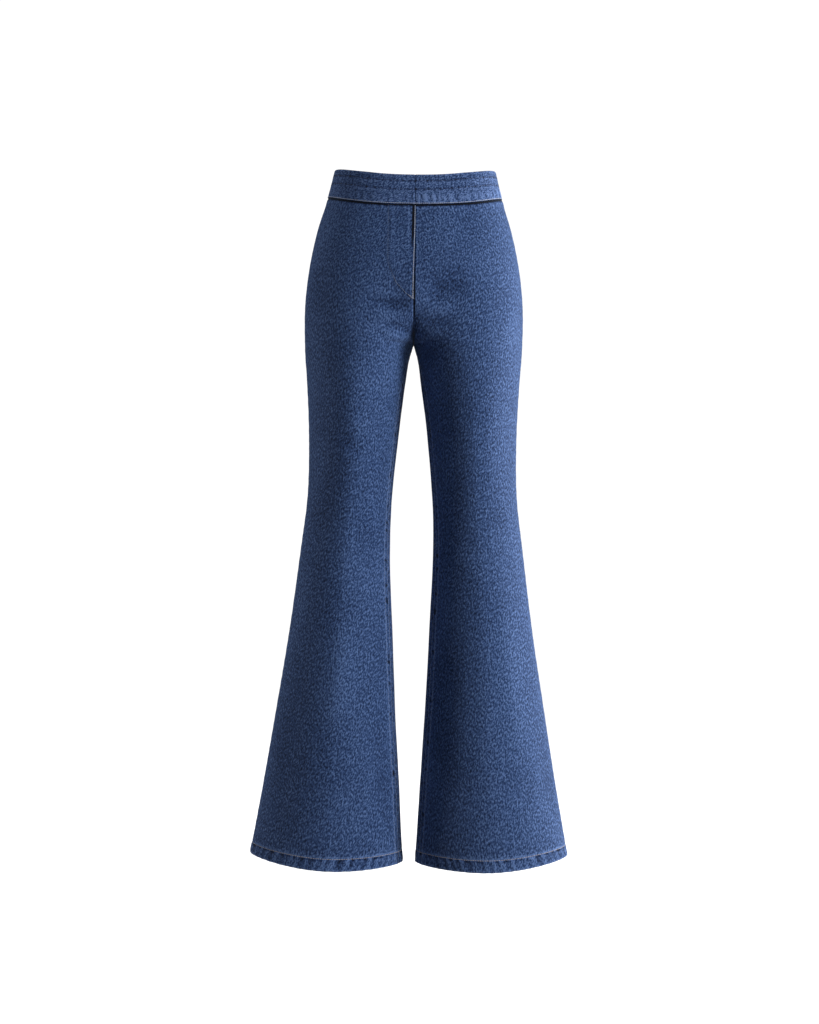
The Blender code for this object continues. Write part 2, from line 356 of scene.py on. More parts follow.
ROLLS_IN = 0.0009
CENTRE_ROLLS_IN = 0.0017
WAIST_ROLLS_IN = 0.0007
FELL_EDGES = (0.0010, 0.0150)
INSEAM_ROWS = (0.0030, 0.0125)
DRAWN_IN = 0.0078
HEM_STITCH = 0.0173
HEM_SHADOW = 0.0152
HEM_PALE_LINE = 0.0190
OVER_THE_TURN = 0.0225
CREASE_DEPTH = 1.3
# How much the creases darken in their troughs, as painted shade, and pale on their ridges with
# wear
CREASE_WEAR_AND_SHADE = 230

# Spacing of the puckers along the inseam or centre seam, the side seam, the waist seam and
# the dots beside the left front's centre seam, and of the hem's rope
INNER_PUCKERS = 0.0135
SIDE_PUCKERS = 0.0190
WAIST_PUCKERS = 0.0125
CENTRE_CATCHES = 0.0075
HEM_ROPE = 0.0140
SEAM_SEEDS = {"front_left": 11, "front_right": 23, "back_left": 37, "back_right": 53}


def felled(distance, rows=INSEAM_ROWS):
    """A felled seam's low ridge, dented under its rows of stitches."""
    ridge = 0.0005 * smooth(distance / FELL_EDGES[0])
    ridge = ridge * smooth((FELL_EDGES[1] - distance) / 0.0012)
    return ridge - sum(0.0004 * beside(distance - row, 0.0008) for row in rows)


def panel_relief(panel, inner, side, height, level):
    """How far the cloth stands off its smooth form, and its wear and painted light and shade (-1
    dark to 1 pale).

    inner and side are the distances to the inseam or centre seam, and to the side seam.
    """
    seed = SEAM_SEEDS[panel]
    across = (inner - side) / 2
    open_cloth = smooth(np.minimum(inner, side) / 0.020)
    rise = 0.0006 * rolling(across, level, 0.075, seed) * open_cloth
    rise += 0.00016 * rolling(across, level, 0.022, seed + 1) * open_cloth
    wear_and_light = 0.10 * rolling(across, level, 0.060, seed + 2)
    folds = sum(crease(across, level, line) for line in CREASES[panel])
    folds = folds * smooth(np.minimum(inner, side) / 0.006)
    rise += CREASE_DEPTH * folds
    # Crease ridges show paler wear, and painted shade darkens the troughs.
    wear_and_light += CREASE_WEAR_AND_SHADE * folds
    # Painted shade darkens the cleft just above the fork, beside the inseam and centre seams.
    wear_and_light -= 2.2 * beside(level - FORK - 0.003, 0.020) * beside(inner, 0.011)
    # The seams' edges roll in, and thread draws the cloth beside them into puckers
    below_fork = smooth((FORK + 0.010 - level) / 0.020)
    rolls_in = CENTRE_ROLLS_IN + (ROLLS_IN - CENTRE_ROLLS_IN) * below_fork
    below = SEAM_LEVEL - height
    free = smooth(below / 0.0040)
    rise -= rolls_in * free * beside(inner, 0.0012)
    rise -= ROLLS_IN * free * beside(side, 0.0011)
    # Painted shade darkens the seam grooves, over their darker unfaded indigo. The pale ridge
    # beside the centre seams is wear with a painted highlight.
    wear_and_light -= (1.9 - 1.0 * below_fork) * beside(inner, 0.0011)
    wear_and_light -= 0.9 * beside(side, 0.0011)
    wear_and_light += 0.50 * beside(inner - 0.0034, 0.0011) * (1 - below_fork)
    along_inner = puckers(level, INNER_PUCKERS, seed + 3)
    tucks = np.clip(along_inner, 0, 1) ** 2 * below_fork
    inner_draw = (0.35 + 0.65 * below_fork) * beside(inner, 0.0062)
    rise += 0.00042 * along_inner * inner_draw
    wear_and_light += 0.75 * np.minimum(along_inner + 0.1, 0.35) * inner_draw * below_fork
    along_side = puckers(level, SIDE_PUCKERS, seed + 4)
    rise += (0.00022 * along_side + 0.00018) * beside(side, 0.0085)
    wear_and_light += (0.16 * along_side + 0.12) * beside(side, 0.0060)
    if panel.startswith("front"):
        rise += felled(inner) * below_fork
        rise -= 0.0008 * tucks * beside(inner - DRAWN_IN, 0.0022)
        # Painted shade darkens the dents beside the inseam's puckers.
        wear_and_light -= 3.0 * tucks * beside(inner - DRAWN_IN, 0.0026)
        wear_and_light += 0.85 * beside(inner - INSEAM_ROWS[1], 0.0018) * below_fork
        wear_and_light += 0.55 * beside(inner - INSEAM_ROWS[0], 0.0013) * below_fork
    elif panel == "back_left":
        rise += felled(inner) * (1 - below_fork)
    if panel == "front_right":
        wear_and_light += 0.24 * beside(across - 0.010, 0.085) * smooth((level + 0.280) / 0.090)
    elif panel == "front_left":
        catches = np.clip(puckers(level, CENTRE_CATCHES, seed + 7), 0, 1)
        catches = catches * smooth((level + 0.090) / 0.020)
        wear_and_light -= 1.9 * catches * beside(inner - 0.0024, 0.0012)
    # Below the waistband the cloth is pressed down along the seam and eased into it, and painted
    # shadow darkens it right under the band.
    ease = puckers(across, WAIST_PUCKERS, seed + 5)
    rise -= WAIST_ROLLS_IN * beside(below, 0.0017)
    rise += (0.0005 + 0.00030 * ease) * beside(below - 0.0065, 0.0048)
    wear_and_light += 0.45 * (0.5 + ease) * beside(below - 0.0060, 0.0026)
    wear_and_light -= 2.9 * beside(below, 0.0025)
    # The hem is two layers thick, and its twist ropes it
    above = height - HEM_LEVEL
    rope = puckers(across + 0.35 * above, HEM_ROPE, seed + 6)
    doubled = smooth((HEM_STITCH + 0.0008 - above) / 0.0015)
    roped = doubled * smooth(above / 0.004)
    rise += 0.00035 * doubled + 0.00060 * rope * roped
    rise -= 0.00055 * beside(above - HEM_STITCH, 0.0010)
    rise += 0.00030 * rope * beside(above - OVER_THE_TURN, 0.0030)
    wear_and_light += 0.75 * rope * roped + 0.12 * doubled
    wear_and_light -= (0.45 - 0.45 * rope) * beside(above - HEM_SHADOW, 0.0014)
    wear_and_light += 1.05 * beside(above - HEM_PALE_LINE, 0.0014)
    wear_and_light += 0.55 * beside(above - 0.0012, 0.0014)
    return rise, wear_and_light


def half_a_loop(heights):
    """Rows from the inseam or centre seam round the front to the side seam and round the back,
    with each point's distance to both its panel's seams."""
    share = np.linspace(0, 1, LOOP_SAMPLES)
    start = inseam_angle(heights)[:, None]
    levels = np.broadcast_to(heights[:, None], (len(heights), LOOP_SAMPLES))
    front_angles = start + (math.pi - start) * share
    back_angles = math.pi + (math.pi + start) * share
    front = on_the_panels(front_angles, levels, np.full(levels.shape, -1.0))
    back = on_the_panels(back_angles, levels, np.full(levels.shape, 1.0))
    return [resampled(half, BESIDE_A_SEAM, EVEN_COLUMNS) for half in (front, back)]


def rounded_rim(start, end, outward, steps=3):
    """Rows that turn a wall's edge over from one face to the other."""
    centre = (start + end) / 2
    radius = np.linalg.norm(start - end, axis=-1, keepdims=True) / 2
    over = radius * unit(outward)
    turns = np.linspace(0, math.pi, steps + 2)[1:-1]
    return [centre + math.cos(turn) * (start - centre) + math.sin(turn) * over for turn in turns]


def placed(name, data):
    made = bpy.data.objects.new(name, data)
    bpy.context.scene.collection.objects.link(made)
    return made


def cloth_wall(name, outer, inner, cut, wear_and_light, material, ring=False):
    """A closed shell between its outer and inner rows, with rounded upper and lower edges.

    cut is each point's place on the flat cloth; the next argument holds its wear and its painted
    light and shade.  A ring closes on itself.
    """
    count, across = outer.shape[:2]
    lower = rounded_rim(outer[-1], inner[-1], outer[-1] - outer[-2])
    upper = rounded_rim(inner[0], outer[0], outer[0] - outer[1])
    rim = len(lower)
    rows = np.concatenate([outer, lower, inner[::-1], upper])
    order = [*range(count), *[count - 1] * rim, *range(count - 1, -1, -1), *[0] * rim]
    inside = [0] * count + [0] * rim + [1] * count + [0] * rim
    total = len(rows)
    index = np.arange(total * across).reshape(total, across)
    nearer = index if ring else index[:, :-1]
    further = np.roll(index, -1, axis=1) if ring else index[:, 1:]
    below, further_below = np.roll(nearer, -1, axis=0), np.roll(further, -1, axis=0)
    quads = np.stack([nearer, below, further_below, further], axis=-1).reshape(-1, 4)
    faces = quads.tolist()
    if not ring:
        under = total - rim - 1 - np.arange(count)
        for column, turned in ((0, False), (across - 1, True)):
            ends = [
                [index[i, column], index[under[i], column],
                 index[under[i + 1], column], index[i + 1, column]]
                for i in range(count - 1)
            ]
            ends.append(index[count - 1:count + rim + 1, column][::-1].tolist())
            ends.append([index[0, column], *index[total - rim - 1:, column][::-1].tolist()])
            faces += [face[::-1] if turned else face for face in ends]
    mesh = bpy.data.meshes.new(name)
    mesh.from_pydata((rows.reshape(-1, 3) * grown).tolist(), [], faces)
    mesh.shade_smooth()
    mesh.set_sharp_from_angle(angle=math.radians(55))
    flat = np.zeros((total, across, 3))
    flat[..., :2] = cut[order]
    flat[..., 2] = np.array(inside)[:, None]
    mesh.attributes.new("cut", "FLOAT_VECTOR", "POINT").data.foreach_set("vector", flat.ravel())
    worn_and_lit = wear_and_light[order] * (1 - np.array(inside)[:, None])
    mesh.attributes.new("wear_and_light", "FLOAT", "POINT").data.foreach_set("value", worn_and_lit.ravel())
    mesh.materials.append(material)
    return placed(name, mesh)


def wired(tree, kind, inputs=None, **settings):
    """A new node with these settings, its inputs set to values or linked to outputs."""
    made = tree.nodes.new(kind)
    for key, value in settings.items():
        setattr(made, key, value)
    for key, value in (inputs or {}).items():
        if isinstance(value, bpy.types.NodeSocket):
            tree.links.new(value, made.inputs[key])
        else:
            made.inputs[key].default_value = value
    return made


def sums(tree, operation, first, second=0.5, third=0.5):
    made = wired(tree, "ShaderNodeMath", {0: first, 1: second, 2: third}, operation=operation)
    return made.outputs[0]


def ranged(tree, value, low, high, to_low=0.0, to_high=1.0):
    """A value carried from one range to another, and held at its ends."""
    return wired(tree, "ShaderNodeMapRange", {
        "Value": value, "From Min": low, "From Max": high, "To Min": to_low, "To Max": to_high,
    }).outputs[0]


def two_colours(tree, share, first, second):
    inputs = {"Factor": share, 6: first, 7: second}
    return wired(tree, "ShaderNodeMix", inputs, data_type="RGBA").outputs[2]


def new_material(name, finish):
    """A material, its nodes and its shader, with the finish set on the shader's own sockets."""
    material = bpy.data.materials.new(name)
    material.use_nodes = True
    shader = material.node_tree.nodes["Principled BSDF"]
    for socket, value in finish.items():
        shader.inputs[socket].default_value = value
    return material, material.node_tree, shader


TWILL_LEAN = 0.30


def cloth_noise(tree, place, stretch, size, detail, low, high):
    """Noise of this grain size on the flat cloth, from 0 to 1 between low and high.

    It leans along the twill, so that no row of the noise lies straight across the cloth.
    """
    across, down = [
        wired(tree, "ShaderNodeVectorMath", {0: place, 1: axis}, operation="DOT_PRODUCT")
        for axis in ((stretch[0], 0, 0), (TWILL_LEAN, stretch[1], 0))
    ]
    leaning = wired(tree, "ShaderNodeCombineXYZ", {
        0: across.outputs["Value"], 1: down.outputs["Value"],
    })
    noise = wired(tree, "ShaderNodeTexNoise", {
        "Vector": leaning.outputs[0], "Scale": 1 / size, "Detail": detail, "Roughness": 0.6,
    })
    return ranged(tree, noise.outputs[0], low, high)


GRAIN_SETTLES = 0.090
TWILL_PITCH = 0.0011
TWILL_STEEPNESS = math.radians(63)
GRAIN_START = -0.065
PLAIN_BLUE = 0.55
# Painted shade: below these wear values the colour is darkened further, towards black
PAINTED_SHADE_FADES = (-1.7, -0.5)
DENIM_FINISH = {
    "Specular IOR Level": 0.20, "Sheen Weight": 0.16, "Sheen Roughness": 0.45,
    "Sheen Tint": (0.42, 0.62, 1.0, 1),
}


def denim(name, navy, blue, pale, inside, grain_across):
    """Warp-faced twill: indigo warp with pale cores, white weft.  Fading shows the cores."""
    material, tree, shader = new_material(name, DENIM_FINISH)
    place = wired(tree, "ShaderNodeAttribute", attribute_name="cut").outputs["Vector"]
    wear_and_light = wired(tree, "ShaderNodeAttribute", attribute_name="wear_and_light").outputs["Fac"]
    parts = wired(tree, "ShaderNodeSeparateXYZ", {0: place}).outputs
    warp = (0.85, 1) if grain_across else (1, 0.62)
    flecks = cloth_noise(tree, place, warp, 0.0024, 1.5, 0.34, 0.66)
    specks = cloth_noise(tree, place, warp, 0.0030, 1.0, 0.60, 0.72)
    cores = cloth_noise(tree, place, (1, 0.12), 0.0013, 2.0, 0.30, 0.70)
    slubs = cloth_noise(tree, place, (1, 0.05), 0.0026, 1.0, 0.50, 0.72)
    shade = cloth_noise(tree, place, (1, 0.6), 0.045, 2.0, 0.25, 0.75)
    diagonal = (math.sin(TWILL_STEEPNESS), math.cos(TWILL_STEEPNESS), 0)
    turns = [2 * math.pi / TWILL_PITCH * part for part in diagonal]
    wave = wired(tree, "ShaderNodeVectorMath", {0: place, 1: turns}, operation="DOT_PRODUCT")
    twill = sums(tree, "SINE", wave.outputs["Value"])
    grain = GRAIN_START
    # Each point's wear value moves the grain towards pale or dark. It carries real fading, and
    # also painted light and shade.
    for layer, weight in (
        (flecks, 0.80), (specks, -0.22), (cores, 0.29), (slubs, 0.12), (shade, 0.10),
        (twill, 0.05), (wear_and_light, 0.42),
    ):
        grain = sums(tree, "MULTIPLY_ADD", layer, weight, grain)
    ramp = tree.nodes.new("ShaderNodeValToRGB")
    tree.links.new(grain, ramp.inputs[0])
    stops = ramp.color_ramp.elements
    stops.new(PLAIN_BLUE)
    for stop, colour in zip(stops, (navy, blue, pale)):
        stop.color = (*colour, 1)
    side = sums(tree, "GREATER_THAN", parts[2], 0.5)
    dull = (*(0.55 * part for part in inside), 1)
    wrong_side = two_colours(tree, grain, dull, (*inside, 1))
    colour = two_colours(tree, side, ramp.outputs[0], wrong_side)
    # Painted shade: the darkest marks, in grooves and under edges, are darkened further towards
    # black.
    painted_shade = ranged(tree, wear_and_light, *PAINTED_SHADE_FADES, 0.05, 1.0)
    shaded_colour = wired(tree, "ShaderNodeVectorMath", {0: colour, "Scale": painted_shade}, operation="SCALE")
    tree.links.new(shaded_colour.outputs[0], shader.inputs["Base Color"])
    rough = ranged(tree, grain, 0.0, 1.0, 0.92, 0.78)
    tree.links.new(rough, shader.inputs["Roughness"])
    relief = sums(tree, "MULTIPLY_ADD", twill, 0.16, sums(tree, "MULTIPLY", flecks, 0.8))
    relief = sums(tree, "MULTIPLY_ADD", cores, 0.35, relief)
    bump = wired(tree, "ShaderNodeBump", {"Height": relief, "Strength": 0.55, "Distance": 0.0006})
    tree.links.new(bump.outputs[0], shader.inputs["Normal"])
    return material


def grain_line(side):
    """Distance from the side seam to the thread that runs straight down a panel.

    It takes no notice of the fork, where the panel is cut wider at its inner edge only.
    """
    half = side.max(axis=1) / 2
    spread = beside(panel_rows[:, None] - panel_rows, GRAIN_SETTLES)
    spread *= np.gradient(-panel_rows)
    return (spread @ half / spread.sum(axis=1))[:, None]


NAVY = (0.003, 0.010, 0.036)
INDIGO = (0.0310, 0.068, 0.185)
PALE = (0.120, 0.209, 0.446)
WRONG_SIDE = (0.130, 0.165, 0.240)
panel_denim = denim("panel_denim", NAVY, INDIGO, PALE, WRONG_SIDE, grain_across=False)

MIRROR = np.array([-1, 1, 1])
LEGS = {"left": np.array([1, 1, 1]), "right": MIRROR}
joined_rows = panel_rows <= FORK
(front_form, front_along), (back_form, back_along) = half_a_loop(panel_rows)
half_form = np.concatenate([front_form, back_form[:, 1:]], axis=1)
form_normals = outward_normals(half_form, joined_rows)
columns = front_form.shape[1]
front_side = front_along[:, -1:] - front_along
back_side = back_along[:, -1:] - back_along
panels = {}
for leg, mirror in LEGS.items():
    row_heights = np.broadcast_to(panel_rows[:, None], front_along.shape)
    front_rise, front_wear_and_light = panel_relief(
        f"front_{leg}", front_along, front_side, row_heights, front_form[..., 2])
    back_rise, back_wear_and_light = panel_relief(
        f"back_{leg}", back_side, back_along, row_heights, back_form[..., 2])
    half_rise = np.concatenate([front_rise, back_rise[:, 1:]], axis=1)
    face = half_form + half_rise[..., None] * form_normals
    normals = outward_normals(face, joined_rows)
    for end, share, inner, side, wear_and_light in (
        ("front", slice(0, columns), front_along, front_side, front_wear_and_light),
        ("back", slice(columns - 1, None), back_side, back_along, back_wear_and_light),
    ):
        rows, out = face[:, share], normals[:, share]
        down = unit(rows[-1] - rows[-2])
        turns = np.linspace(0, math.pi, FOLD_STEPS + 1)[1:, None, None]
        under = np.cos(turns) * out[-1] + np.sin(turns) * down
        folded = rows[-1] - FOLD_RADIUS * out[-1] + FOLD_RADIUS * under
        handed = 1 if f"{end}_{leg}" in ("front_left", "back_right") else -1
        down_the_cut = np.broadcast_to(-panel_rows[:, None], inner.shape)
        cut = np.stack([handed * (grain_line(side) - side), down_the_cut], axis=-1)
        fold_cut = np.repeat(cut[-1:], FOLD_STEPS, axis=0)
        fold_cut[..., 1] += FOLD_RADIUS * turns[..., 0]
        panels[f"{end}_{leg}"] = {
            "face": rows, "out": out, "inner": inner, "side": side, "mirror": mirror,
            "cut": cut, "wear_and_light": wear_and_light, "heights": panel_rows,
            "sheet": np.concatenate([rows, folded]),
            "sheet_out": np.concatenate([out, under]),
            "sheet_cut": np.concatenate([cut, fold_cut]),
            "sheet_wear_and_light": np.concatenate([wear_and_light, np.repeat(wear_and_light[-1:], FOLD_STEPS, axis=0)]),
        }

for node, panel in panels.items():
    outer = panel["sheet"]
    inner = outer - DENIM_WALL * panel["sheet_out"]
    cut, wear_and_light = panel["sheet_cut"], panel["sheet_wear_and_light"]
    if panel["mirror"][0] < 0:
        outer, inner = outer[:, ::-1] * MIRROR, inner[:, ::-1] * MIRROR
        cut, wear_and_light = cut[:, ::-1], wear_and_light[:, ::-1]
    piece = cloth_wall(f"{node}_panel", outer, inner, cut, wear_and_light, panel_denim)
    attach(piece, "root")
    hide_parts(node)


# --- Fly ----------------------------------------------------------------------------------
# A mock fly: a strip of the same denim on the wearer's right front, folded along the centre
# front, where it laps 1 mm over the left, and stitched down in a J.  It doesn't open.

FLY_WIDTH = 0.042
FLY_CURVE_TOP = -0.112
FLY_BOTTOM = -0.180
FLY_ROUNDNESS = 1.7
FLY_LAP = 0.0010
FLY_TIP = 0.004
FLY_STAND = 0.0009
FLY_EDGE = 0.00002
FLY_FACE_OFF = 0.00014
FLY_BACK_OFF = 0.00006
# Distances from the centre front of the painted highlights over ridges down the fly
FLY_HIGHLIGHT_LINES = (0.0090, 0.0310, 0.0345)
FLY_COLUMNS = 44
FLY_STEP = 0.0019


def at_distance(panel, row, distance, key, seam="inner"):
    """A panel's values at distances from a seam, along the row numbered (and part numbered)."""
    low = int(min(max(math.floor(row), 0), len(panel["heights"]) - 2))
    share = row - low
    mixed = []
    for i in (low, low + 1):
        have, values = panel[seam][i], panel[key][i]
        if have[0] > have[-1]:
            have, values = have[::-1], values[::-1]
        values = values.reshape(len(have), -1)
        mixed.append(np.stack([np.interp(distance, have, v) for v in values.T], axis=-1))
    return mixed[0] * (1 - share) + mixed[1] * share


def face_at(panel, row, distance, seam="inner"):
    """Points on a panel's face and their normals."""
    points = at_distance(panel, row, distance, "face", seam)
    return points, unit(at_distance(panel, row, distance, "out", seam))


def row_at(panel, height):
    """The (part) number of the panel's row at a height."""
    return float(np.interp(-height, -panel["heights"], np.arange(len(panel["heights"]))))


def fly_width(height):
    drop = max((FLY_CURVE_TOP - height) / (FLY_CURVE_TOP - FLY_BOTTOM), 0.0)
    share = max(1 - drop**FLY_ROUNDNESS, 0.0) ** (1 / FLY_ROUNDNESS)
    return max(FLY_WIDTH * share, FLY_TIP)


def fold_stitch(height):
    """Distance from the centre front to the stitches down the fold, which run a little askew."""
    return 0.0008 + 0.0022 * smooth((-0.030 - height) / 0.140)


right_front = panels["front_right"]
curve = FLY_CURVE_TOP + (FLY_BOTTOM - FLY_CURVE_TOP) * np.sin(np.linspace(0, math.pi / 2, 34))
fly_heights = np.concatenate([from_to(SEAM_LEVEL - 0.0008, FLY_CURVE_TOP, FLY_STEP), curve])
fly_rows, fly_out, fly_cut, fly_wear_and_light, fly_stand = [], [], [], [], []
for height in fly_heights:
    row = row_at(right_front, height)
    width = fly_width(height)
    distance = width * np.linspace(0, 1, FLY_COLUMNS) ** 0.85
    points, out = face_at(right_front, row, distance)
    # The right front's rolled-in edge is hidden under the fly, which laps over the seam
    rolled = CENTRE_ROLLS_IN * smooth((SEAM_LEVEL - height) / 0.0040)
    hump = rolled * beside(distance, 0.0012)[:, None] * out
    points = points + hump - [FLY_LAP, 0, 0] * beside(distance, 0.0080)[:, None]
    taper = smooth((width - distance) / 0.0060)
    below = SEAM_LEVEL - height
    stand = FLY_EDGE + (FLY_STAND - FLY_EDGE) * taper * smooth(below / 0.0030 + 0.35)
    stand = stand - 0.0005 * beside(distance, 0.0007)
    sewn_at = fold_stitch(height)
    stand = stand - 0.00040 * beside(distance - sewn_at, 0.0006)
    stand = stand + 0.00016 * beside(distance - 0.0085, 0.0014)
    fly_rows.append(points)
    fly_out.append(out)
    fly_stand.append(stand)
    fly_cut.append(at_distance(right_front, row, distance, "cut"))
    worn_and_lit = at_distance(right_front, row, distance, "wear_and_light")[:, 0]
    # A painted highlight runs along the fold's edge, with a faint painted shadow line 3.4 mm in
    # from it.
    worn_and_lit += 1.9 * beside(distance, 0.0011) - 0.50 * beside(distance - 0.0034, 0.0011)
    ends = smooth((height + 0.128) / 0.020)
    ridge = 0.5 + 0.5 * puckers(np.array(height), 0.011, 71)
    # Painted highlights over the ridges that run down the fly.
    near, middle, far = [distance - line for line in FLY_HIGHLIGHT_LINES]
    worn_and_lit += 0.95 * ends * (0.6 + 0.4 * ridge) * beside(near, 0.0011)
    worn_and_lit += 0.60 * ends * ridge * beside(middle, 0.0012)
    worn_and_lit += 0.50 * ends * (1 - ridge) * beside(far, 0.0012)
    low = smooth((-0.060 - height) / 0.060)
    # Painted light pales the fly's free edge against the shade of its step. A painted shadow line
    # runs beside the fold's stitches, on one side above and on the other below.
    worn_and_lit += 0.45 * beside(width - distance, 0.0028)
    worn_and_lit -= 2.6 * (1 - low) * beside(distance - sewn_at - 0.0027, 0.0011)
    worn_and_lit -= 2.2 * low * beside(distance - sewn_at + 0.0019, 0.0009)
    fly_wear_and_light.append(worn_and_lit)
fly_rows, fly_out, fly_stand = map(np.array, (fly_rows, fly_out, fly_stand))
fly_face = fly_rows + (FLY_FACE_OFF + fly_stand[..., None]) * fly_out
fly_back = fly_rows + FLY_BACK_OFF * fly_out
piece = cloth_wall(
    "fly_strip", fly_face[:, ::-1] * MIRROR, fly_back[:, ::-1] * MIRROR,
    np.array(fly_cut)[:, ::-1], np.array(fly_wear_and_light)[:, ::-1], panel_denim)
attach(piece, "root")
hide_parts("fly")


# --- Waistband ----------------------------------------------------------------------------
# A plain shaped band, doubled and folded over at the top: two front pieces that meet in a
# seam at the centre front, and one back piece.  Two rows of blue stitching hold a stiff
# tape inside, which draws the cloth into small puckers, and ease shows above the waist seam.

BAND_TOP_LEVEL = 0.0326
TOP_FRONT_DIP = 0.0226
TOP_BACK_DIP = -0.002
TOP_CORNER_DROP = 0.0082
TOP_CORNER_REACH = 0.075
TOP_CORNER_ROUND = 0.007
BAND_WALL = 0.0022
BAND_PROUD = 0.0010
BAND_STEPS = 26
BAND_EVEN_COLUMNS = 74
BESIDE_A_BAND_END = BESIDE_A_SEAM[:-3]
BAND_STITCH = 0.0019
TAPE_ROWS = (0.0088, 0.0215)
TAPE_PUCKERS = (0.0068, 0.0081)
GATHERS_APART = 0.0112
BAND_SEEDS = {"front_left": 5, "front_right": 17, "back": 29}
EASE = {"front_left": 1.35, "front_right": 0.55, "back": 0.8}

BAND_BLUE = (0.037, 0.076, 0.199)
BAND_PALE = (0.143, 0.232, 0.478)
band_denim = denim("band_denim", NAVY, BAND_BLUE, BAND_PALE, WRONG_SIDE, grain_across=True)


def band_half(share, facing):
    """One level of the band on the wearer's left, from the waist seam (0) to its top (1)."""
    seam = (SEAM_LEVEL, SEAM_FRONT_DIP, SEAM_BACK_DIP)
    top = (BAND_TOP_LEVEL, TOP_FRONT_DIP, TOP_BACK_DIP)
    level, front_dip, back_dip = (a + (b - a) * share for a, b in zip(seam, top))
    turn = math.pi * np.linspace(0, 1, LOOP_SAMPLES)
    angle = turn if facing < 0 else math.pi + turn
    heights = np.full(LOOP_SAMPLES, level)
    facings = np.full(LOOP_SAMPLES, float(facing))
    _, y = on_the_form(angle, heights, facings)
    corner = np.clip(1 - np.hypot(y, TOP_CORNER_ROUND) / TOP_CORNER_REACH, 0, 1)
    edge = waist_edge(y, heights, front_dip, back_dip) - TOP_CORNER_DROP * share**3 * corner
    x, y = on_the_form(angle, edge, facings)
    return np.stack([x - SEAM_LAP / 2, y, edge], axis=-1)


def band_relief(name, along, span, depth, height):
    """The band's rise, and its wear and painted shade.  depth is the distance below its top,
    height above its seam.
    """
    seed = BAND_SEEDS[name]
    rise = np.zeros_like(along)
    wear_and_light = 0.10 + 0.10 * rolling(along, depth, 0.020, seed)
    patchy = 0.5 + 0.5 * rolling(along, depth, 0.034, seed + 1)
    for number, row in enumerate(TAPE_ROWS):
        tucks = puckers(along + 0.0006 * number, TAPE_PUCKERS[number], seed + 2 + number)
        rise -= 0.00034 * beside(depth - row, 0.0010)
        rise += 0.00030 * tucks * beside(depth - row, 0.0034)
        dots = np.clip(tucks, 0, 1) ** 2
        wear_and_light -= (2.2 * dots + 0.40) * beside(depth - row, 0.0013)
        wear_and_light += 0.50 * patchy * beside(depth - row - 0.0034, 0.0017)
    gathers = puckers(along + 0.2 * height, GATHERS_APART, seed + 5)
    gathered = beside(height - 0.0098, 0.0060) * (0.35 + 0.65 * patchy) * EASE[name]
    rise += 0.00080 * gathers * gathered
    wear_and_light += (1.30 * gathers + 0.60) * gathered
    # The seam's edge is stitched down and rolls in, and so do the ends of the pieces; painted
    # shadow darkens the band's edge along the seam.
    rise -= 0.00035 * beside(height - BAND_STITCH, 0.0007)
    rise -= 0.00110 * beside(height, 0.0008)
    wear_and_light += 0.30 * beside(height - 0.0034, 0.0010) - 2.0 * beside(height, 0.0009)
    wear_and_light += 0.38 * beside(depth, 0.0016)
    for end in (along, span - along):
        rise -= 0.0007 * beside(end, 0.0011)
        wear_and_light -= 0.55 * beside(end, 0.0011)
        wear_and_light += 0.22 * beside(end - 0.0026, 0.0010)
    return rise, wear_and_light


band_shares = np.concatenate([
    [0, 0.012, 0.03, 0.055, 0.085],
    np.linspace(0.11, 0.95, BAND_STEPS),
    [0.97, 0.985, 1.0],
])[::-1]
left_front = np.array([band_half(share, -1) for share in band_shares])
left_back = np.array([band_half(share, 1) for share in band_shares])
whole_back = np.concatenate([left_back, (left_back * MIRROR)[:, -2::-1]], axis=1)
bands = {}
for name, samples in (
    ("front_left", left_front),
    ("back", whole_back),
    ("front_right", (left_front * MIRROR)[:, ::-1]),
):
    wide = 2 if name == "back" else 1
    rows, along = resampled(samples, BESIDE_A_BAND_END, wide * BAND_EVEN_COLUMNS)
    out = unit(np.cross(np.gradient(rows, axis=0), np.gradient(rows, axis=1)))
    if name != "back":
        centre = 0 if name == "front_left" else -1
        out[:, centre, 0] = 0
        out[:, centre] = unit(out[:, centre])
    drop = np.cumsum(np.linalg.norm(np.diff(rows, axis=0), axis=2), axis=0)
    depth = np.concatenate([np.zeros((1, rows.shape[1])), drop])
    height = depth[-1] - depth
    rise, wear_and_light = band_relief(name, along, along[:, -1:], depth, height)
    face = rows + (BAND_PROUD + rise)[..., None] * out
    lining = rows + (BAND_PROUD - BAND_WALL) * out
    cut = np.stack([along, depth], axis=-1)
    bands[name] = {"face": face, "out": out, "height": height, "depth": depth}
    piece = cloth_wall(f"waistband_{name}_piece", face, lining, cut, wear_and_light, band_denim)
    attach(piece, "root")
    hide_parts(f"waistband_{name}")


# --- Turned-up hems -----------------------------------------------------------------------
# The end of each leg, folded under and up inside: a ring of the same denim, wrong side
# against wrong side, that shows its right side within the leg.

HEM_DEPTH = 0.020
HEM_WALL = 0.0010
HEM_INSET = 2 * FOLD_RADIUS + 0.0002
HEM_ROWS = 12

